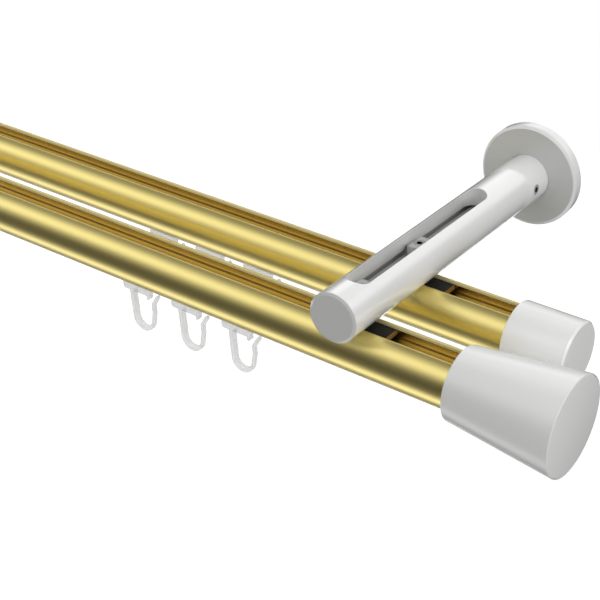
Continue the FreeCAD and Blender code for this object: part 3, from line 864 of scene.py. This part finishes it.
@dataclass
class SocketScrew:
    """A set screw with chamfered ends and a hexagon socket."""

    node: str
    along: Vector
    radius: float = 2.0 * MM
    chamfer: float = 0.35 * MM
    across_flats: float = 2.0 * MM
    socket_depth: float = 1.6 * MM
    edges_per_flat: int = 8
    tolerance: float = 0.01 * MM
    # the socket's finish is near-black painted shade unless another one is given
    socket: Finish = SOCKET_SHADE_BLACK

    @property
    def end_radius(self) -> float:
        """Radius inside the chamfer at either end."""
        return self.radius - self.chamfer

    def length(self) -> float:
        """Work out the screw's length from its solid's box and its lean.

        Returns:
            The length along the screw's axis.
        """
        low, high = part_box(self.node)
        upright = abs(self.along.z) > abs(self.along.x)
        lean = abs(self.along.z) if upright else abs(self.along.x)
        span = (high - low).z if upright else (high - low).x
        sideways = 2 * self.end_radius * math.sqrt(1 - lean**2)
        return (span - sideways) / lean

    def drawn_on(self, mesh: bmesh.types.BMesh, rim: list, depth: float, scale: float = 1.0) -> list:
        """Extrude a loop of edges along the axis.

        Args:
            mesh: the screw so far.
            rim: the loop's edges.
            depth: how far the loop moves, out of the screw when positive.
            scale: how much the loop grows.

        Returns:
            The new loop's edges.
        """
        made = bmesh.ops.extrude_edge_only(mesh, edges=rim)["geom"]
        verts = only_verts(made)
        bmesh.ops.scale(mesh, verts=verts, vec=Vector((scale, scale, 1)))
        bmesh.ops.translate(mesh, verts=verts, vec=Z_AXIS * depth)
        return [item for item in made if isinstance(item, bmesh.types.BMEdge)]

    def shape(self, length: float) -> bmesh.types.BMesh:
        """Bridge the hexagon to the rim, draw both inwards and mark the socket.

        Args:
            length: the screw's length.

        Returns:
            The screw, with its head at the origin and its tip below.
        """
        mesh = bmesh.new()
        corner = self.across_flats / math.sqrt(3)
        growth = self.radius / self.end_radius
        around = HEXAGON_SIDES * self.edges_per_flat
        bmesh.ops.create_circle(mesh, cap_ends=False, segments=HEXAGON_SIDES, radius=corner)
        bmesh.ops.subdivide_edges(mesh, edges=mesh.edges[:], cuts=self.edges_per_flat - 1)
        hexagon = mesh.edges[:]
        bmesh.ops.create_circle(mesh, cap_ends=False, segments=around, radius=self.end_radius)
        rim = [edge for edge in mesh.edges if edge not in hexagon]
        bmesh.ops.bridge_loops(mesh, edges=hexagon + rim)
        chamfered = self.drawn_on(mesh, rim, -self.chamfer, growth)
        shank = self.drawn_on(mesh, chamfered, 2 * self.chamfer - length)
        tip = self.drawn_on(mesh, shank, -self.chamfer, 1 / growth)
        bmesh.ops.contextual_create(mesh, geom=tip)
        floor = self.drawn_on(mesh, hexagon, -self.socket_depth)
        bmesh.ops.contextual_create(mesh, geom=floor)
        # The socket's walls and floor take the socket finish, painted shade by default.
        deepest = -(length + self.socket_depth) / 2
        for face in mesh.faces:
            middle = face.calc_center_median()
            central = math.hypot(middle.x, middle.y) < corner + self.tolerance
            face.material_index = int(central and deepest < middle.z < -self.socket_depth / 4)
        return mesh

    def build(self) -> None:
        """Shape the screw, set it in place and dress it."""
        length = self.length()
        mesh = self.shape(length)
        turn = Z_AXIS.rotation_difference(self.along).to_matrix()
        bmesh.ops.rotate(mesh, verts=mesh.verts, cent=ORIGIN, matrix=turn)
        head = box_middle(self.node) + self.along * length / 2
        bmesh.ops.translate(mesh, verts=mesh.verts, vec=head)
        piece = finished_object(mesh, f"{self.node}_with_socket")
        fitted(piece, "bright_steel", self.node, BRIGHT_STEEL, self.socket)


@dataclass
class Bracket:
    """A wall bracket: its turned and drawn pieces built, and its other solids dressed."""

    side: Side
    grub_rise: float = 5.0

    @property
    def grub_axis(self) -> Vector:
        """Direction out of the arm's side, rising a little."""
        rise = math.radians(self.grub_rise)
        return Vector((self.side.value * math.cos(rise), 0, math.sin(rise)))

    def build(self) -> None:
        """Build the smooth pieces and dress the solids."""
        suffix = self.side.suffix
        Rosette(self.side).build()
        dress_node(f"wall_plate{suffix}", PLATED_STEEL)
        dress_node(f"arm{suffix}", WHITE_LACQUER)
        # The cap is dressed in painted shade.
        dress_node(f"arm_cap{suffix}", CAP_SHADE_LACQUER)
        SocketScrew(f"arm_grub_screw{suffix}", self.grub_axis, socket=SHINY_SOCKET_STEEL).build()
        for row in Row:
            SlotPlate(self.side, row).build()
            dress_node(f"{row.value}_clamp_block{suffix}", CAST_ZINC)
            SocketScrew(f"{row.value}_clamp_screw{suffix}", Z_AXIS).build()


# Rail ends

@dataclass
class Finial:
    """The front rail's conical finial: a hollow shell and the disc that closes it."""

    side: Side
    mouth_radius: float = 12.95 * MM
    end_radius: float = 17.25 * MM
    length: float = 39.3 * MM
    engagement: float = 11.7 * MM
    wall: float = 2.2 * MM
    flange: float = 1.6 * MM
    socket_radius: float = 10.05 * MM
    bore_radius: float = 8.7 * MM
    disc_thickness: float = 2.0 * MM
    disc_rim: float = 0.5 * MM
    disc_gap: float = 0.05 * MM
    mouth_rounding: float = 0.4 * MM
    end_rounding: float = 0.25 * MM
    rounding_steps: int = 6

    @property
    def slope(self) -> float:
        """Growth of the radius along the cone."""
        return (self.end_radius - self.mouth_radius) / self.length

    def inside(self, distance: float) -> float:
        """Return the hollow's radius at a distance from the mouth."""
        return self.mouth_radius + self.slope * distance - self.wall

    def shell_profile(self) -> Outline:
        """Draw the shell's section, from the socket's mouth round the outside and back inside.

        Returns:
            The outline.
        """
        lean = math.atan(self.slope)
        mouth, end = self.mouth_rounding, self.end_rounding
        mouth_up = self.mouth_radius + self.slope * mouth * (1 - math.sin(lean)) - mouth * math.cos(lean)
        end_x = self.length - end
        end_up = self.mouth_radius + self.slope * (end_x - end * math.sin(lean)) - end * math.cos(lean)
        seat = self.length - self.disc_thickness
        seat_radius = self.end_radius - self.disc_rim
        shelf = seat - self.flange
        hollow = self.engagement + self.flange
        pen = Outline((0, self.socket_radius), along_x=True)
        pen.line_to((0, mouth_up))
        pen.arc_about((mouth, mouth_up), math.degrees(lean) - 90, self.rounding_steps)
        pen.line_to((end_x - end * math.sin(lean), end_up + end * math.cos(lean)))
        pen.arc_about((end_x, end_up), -90 - math.degrees(lean), self.rounding_steps)
        pen.line_to(
            (self.length, seat_radius),
            (seat, seat_radius),
            (seat, self.inside(seat)),
            (shelf, self.inside(shelf)),
            (hollow, self.inside(hollow)),
            (hollow, self.bore_radius),
            (self.engagement, self.bore_radius),
            (self.engagement, self.socket_radius),
            (0, self.socket_radius),
        )
        return pen

    def disc_profile(self) -> Outline:
        """Draw the disc's section from its back to its face.

        Returns:
            The outline.
        """
        back = self.length - self.disc_thickness
        radius = self.end_radius - self.disc_rim - self.disc_gap
        edge = self.end_rounding
        pen = Outline((back, 0), along_x=True)
        pen.line_to((back, radius), (self.length - edge, radius))
        pen.arc_about((self.length - edge, radius - edge), -90, self.rounding_steps)
        pen.line_to((self.length, 0))
        return pen

    def build(self) -> None:
        """Turn the shell and the disc about the rail's axis."""
        suffix = self.side.suffix
        along = X_AXIS * self.side.value
        start = end_on_axis(f"finial{suffix}", along)
        for name, node, profile in (
            ("finial_cone", "finial", self.shell_profile()),
            ("finial_face", "finial_disc", self.disc_profile()),
        ):
            piece = finished_object(turned(profile, start, along), name + suffix)
            fitted(piece, "white_gloss", node + suffix, WHITE_GLOSS)


@dataclass
class RearCap:
    """The rear rail's straight cap, closed at its far end."""

    side: Side
    radius: float = 12.0 * MM
    length: float = 22.9 * MM
    engagement: float = 12.0 * MM
    end_thickness: float = 2.2 * MM
    relief_radius: float = 8.5 * MM
    socket_radius: float = 10.05 * MM
    chamfer: float = 0.7 * MM
    mouth_rounding: float = 0.4 * MM
    rounding_steps: int = 6

    def profile(self) -> Outline:
        """Draw the section, from the socket's mouth round the outside and back inside.

        Returns:
            The outline.
        """
        mouth = self.mouth_rounding
        inner_end = self.length - self.end_thickness
        pen = Outline((0, self.socket_radius), along_x=True)
        pen.line_to((0, self.radius - mouth))
        pen.arc_about((mouth, self.radius - mouth), -90, self.rounding_steps)
        pen.line_to(
            (self.length - self.chamfer, self.radius),
            (self.length, self.radius - self.chamfer),
            (self.length, 0),
            (inner_end, 0),
            (inner_end, self.relief_radius),
            (self.engagement, self.relief_radius),
            (self.engagement, self.socket_radius),
            (0, self.socket_radius),
        )
        return pen

    def build(self) -> None:
        """Turn the section about the rail's axis."""
        node = f"rear_cap{self.side.suffix}"
        along = X_AXIS * self.side.value
        mesh = turned(self.profile(), end_on_axis(node, along), along)
        piece = finished_object(mesh, f"straight_cap{self.side.suffix}")
        fitted(piece, "white_gloss", node, WHITE_GLOSS)


@dataclass
class RailEnds:
    """The finial, cap and stops of one side."""

    side: Side

    def build(self) -> None:
        """Build the finial and the cap and dress the stops."""
        Finial(self.side).build()
        RearCap(self.side).build()
        for row in Row:
            dress_node(f"{row.value}_end_stop{self.side.suffix}", NATURAL_NYLON)


# Studio

WHITE = (1.0, 1.0, 1.0, 1.0)
BACKDROP_RAYS = ("Is Camera Ray", "Is Transmission Ray")


def mask_of_rays(tree: bpy.types.NodeTree, kinds: tuple[str, ...]) -> bpy.types.NodeSocket:
    """Make a mask that is 1 for rays of the given kinds and 0 for all others.

    Args:
        tree: the node tree of a material or a world.
        kinds: outputs of the Light Path node.

    Returns:
        The socket that gives the mask.
    """
    path = tree.nodes.new("ShaderNodeLightPath")
    mask = path.outputs[kinds[0]]
    for kind in kinds[1:]:
        most = new_math(tree.nodes, "MAXIMUM")
        tree.links.new(mask, most.inputs[0])
        tree.links.new(path.outputs[kind], most.inputs[1])
        mask = most.outputs[0]
    return mask


@dataclass(frozen=True)
class SoftBand:
    """A soft light band in the sky, parallel to the rails.

    The angle is in degrees from the room's horizon, up and over towards the wall.
    """

    angle: float
    spread: float
    strength: float

    def at(self, angle: float) -> float:
        """Return the band's brightness in a direction."""
        apart = (angle - self.angle + 180) % 360 - 180
        return self.strength * math.exp(-((apart / self.spread) ** 2))


@dataclass
class Sky:
    """The world: white to the camera, and soft bands round the rails as light."""

    ambient: float = 0.05
    brightest: float = 4.0
    stop_spacing: int = 6
    left_share: float = 1.1
    right_share: float = 0.58
    bands: tuple[SoftBand, ...] = (
        SoftBand(angle=-72, spread=14, strength=2.0),
        SoftBand(angle=42, spread=22, strength=1.48),
        SoftBand(angle=86, spread=22, strength=0.05),
        SoftBand(angle=116, spread=14, strength=1.0),
        SoftBand(angle=146, spread=12, strength=2.0),
    )

    def brightness(self, angle: float) -> float:
        """Return the sky's brightness in a direction."""
        return self.ambient + sum(band.at(angle) for band in self.bands)

    def shape_curve(self, node: bpy.types.ShaderNodeFloatCurve) -> None:
        """Give the brightness curve its stops, from the share of a full turn to brightness.

        Args:
            node: the curve's node.
        """
        curve = node.mapping.curves[0]
        angles = range(-180, 181, self.stop_spacing)
        stops = [((angle + 180) / 360, self.brightness(angle) / self.brightest) for angle in angles]
        curve.points[0].location = stops[0]
        curve.points[-1].location = stops[-1]
        for stop in stops[1:-1]:
            curve.points.new(*stop)
        node.mapping.update()

    def banded_light(self, tree: bpy.types.NodeTree) -> bpy.types.NodeSocket:
        """Make the light's brightness: bands by the angle about X, brighter from the left.

        Args:
            tree: the world's node tree.

        Returns:
            The socket that gives the brightness.
        """
        nodes, links = tree.nodes, tree.links
        place = nodes.new("ShaderNodeTexCoord")
        split = nodes.new("ShaderNodeSeparateXYZ")
        towards_room = new_math(nodes, "MULTIPLY", None, -1.0)
        angle = new_math(nodes, "ARCTAN2")
        share = nodes.new("ShaderNodeMapRange")
        share.inputs["From Min"].default_value = -math.pi
        share.inputs["From Max"].default_value = math.pi
        curve = nodes.new("ShaderNodeFloatCurve")
        self.shape_curve(curve)
        full = new_math(nodes, "MULTIPLY", None, self.brightest)
        side = nodes.new("ShaderNodeMapRange")
        side.inputs["From Min"].default_value = -1.0
        side.inputs["From Max"].default_value = 1.0
        side.inputs["To Min"].default_value = self.left_share
        side.inputs["To Max"].default_value = self.right_share
        light = new_math(nodes, "MULTIPLY")
        links.new(place.outputs["Generated"], split.inputs[0])
        links.new(split.outputs["Y"], towards_room.inputs[0])
        links.new(split.outputs["Z"], angle.inputs[0])
        links.new(towards_room.outputs[0], angle.inputs[1])
        links.new(angle.outputs[0], share.inputs["Value"])
        links.new(share.outputs[0], curve.inputs["Value"])
        links.new(curve.outputs[0], full.inputs[0])
        links.new(split.outputs["X"], side.inputs["Value"])
        links.new(full.outputs[0], light.inputs[0])
        links.new(side.outputs[0], light.inputs[1])
        return light.outputs[0]

    def build(self) -> None:
        """Make the world."""
        world = bpy.data.worlds.new("studio")
        bpy.context.scene.world = world
        world.use_nodes = True
        tree = world.node_tree
        background = tree.nodes["Background"]
        background.inputs["Color"].default_value = WHITE
        strength = tree.nodes.new("ShaderNodeMix")
        strength.data_type = "FLOAT"
        strength.inputs["B"].default_value = 1.0
        tree.links.new(mask_of_rays(tree, BACKDROP_RAYS), strength.inputs["Factor"])
        tree.links.new(self.banded_light(tree), strength.inputs["A"])
        tree.links.new(strength.outputs[0], background.inputs["Strength"])


@dataclass
class Floor:
    """The pale floor, far below the pole, which glows only to the eye and in reflections."""

    drop: float = 1.2
    front: float = 0.36
    right: float = 0.3
    depth: float = 2.1
    width: float = 8.0
    tone: float = 0.85
    roughness: float = 0.9
    glow: float = 0.5

    def material(self) -> bpy.types.Material:
        """Make the floor's material.

        Returns:
            The material.
        """
        material = bpy.data.materials.new("pale_floor")
        material.use_nodes = True
        tree = material.node_tree
        shader = tree.nodes["Principled BSDF"]
        shader.inputs["Base Color"].default_value = (self.tone, self.tone, self.tone, 1)
        shader.inputs["Roughness"].default_value = self.roughness
        shader.inputs["Emission Color"].default_value = WHITE
        glow = new_math(tree.nodes, "MULTIPLY", None, self.glow)
        tree.links.new(mask_of_rays(tree, (*BACKDROP_RAYS, "Is Glossy Ray")), glow.inputs[0])
        tree.links.new(glow.outputs[0], shader.inputs["Emission Strength"])
        return material

    def build(self) -> None:
        """Lay the floor."""
        mesh = bmesh.new()
        verts = bmesh.ops.create_grid(mesh, x_segments=1, y_segments=1, size=0.5)["verts"]
        bmesh.ops.scale(mesh, verts=verts, vec=Vector((self.width, self.depth, 1)))
        shift = Vector((self.right - self.width / 2, self.front + self.depth / 2, -self.drop))
        bmesh.ops.translate(mesh, verts=verts, vec=shift)
        floor = finished_object(mesh, "floor")
        floor.data.materials.append(self.material())


@dataclass
class Lamp:
    """The soft lamp to the right, aimed at the pole."""

    place: Vector = field(default_factory=lambda: Vector((2.2, -0.31, 1.03)))
    target: Vector = field(default_factory=lambda: Vector((0.4, -0.06, 0)))
    size: float = 1.0
    power: float = 16.0

    def build(self) -> None:
        """Hang the lamp."""
        data = bpy.data.lights.new("soft_lamp", "AREA")
        data.shape = "SQUARE"
        data.size = self.size
        data.energy = self.power
        lamp = bpy.data.objects.new("soft_lamp", data)
        lamp.location = self.place
        lamp.rotation_euler = (self.target - self.place).to_track_quat("-Z", "Y").to_euler()
        bpy.context.scene.collection.objects.link(lamp)


@dataclass
class Camera:
    """The camera at the photograph's angle; its angles are in degrees, its lens in millimetres."""

    place: Vector = field(default_factory=lambda: Vector((0.66615, -0.441487, 0.23354)))
    yaw: float = 36.6386
    pitch: float = 30.9477
    roll: float = -0.084
    focal_length: float = 84.263
    sensor_width: float = 36.0
    nearest: float = 0.01

    def build(self) -> None:
        """Place the camera."""
        data = bpy.data.cameras.new("camera")
        data.lens = self.focal_length
        data.sensor_width = self.sensor_width
        data.clip_start = self.nearest
        camera = bpy.data.objects.new("camera", data)
        turn = Euler((math.radians(90 - self.pitch), 0, math.radians(self.yaw)))
        roll = Matrix.Rotation(math.radians(self.roll), 4, "Z")
        camera.matrix_world = Matrix.Translation(self.place) @ turn.to_matrix().to_4x4() @ roll
        bpy.context.scene.collection.objects.link(camera)
        bpy.context.scene.camera = camera


def main() -> None:
    """Build every sub-assembly in order, then the studio."""
    logging.basicConfig(level=logging.INFO, format="%(name)s: %(message)s")
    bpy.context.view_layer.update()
    for row in Row:
        Rail(row).build()
    for side in Side:
        Bracket(side).build()
        RailEnds(side).build()
    Gliders().build()
    for surroundings in (Sky(), Lamp(), Floor(), Camera()):
        surroundings.build()
    bpy.context.scene.view_settings.view_transform = "Standard"


if __name__ == "__main__":
    main()
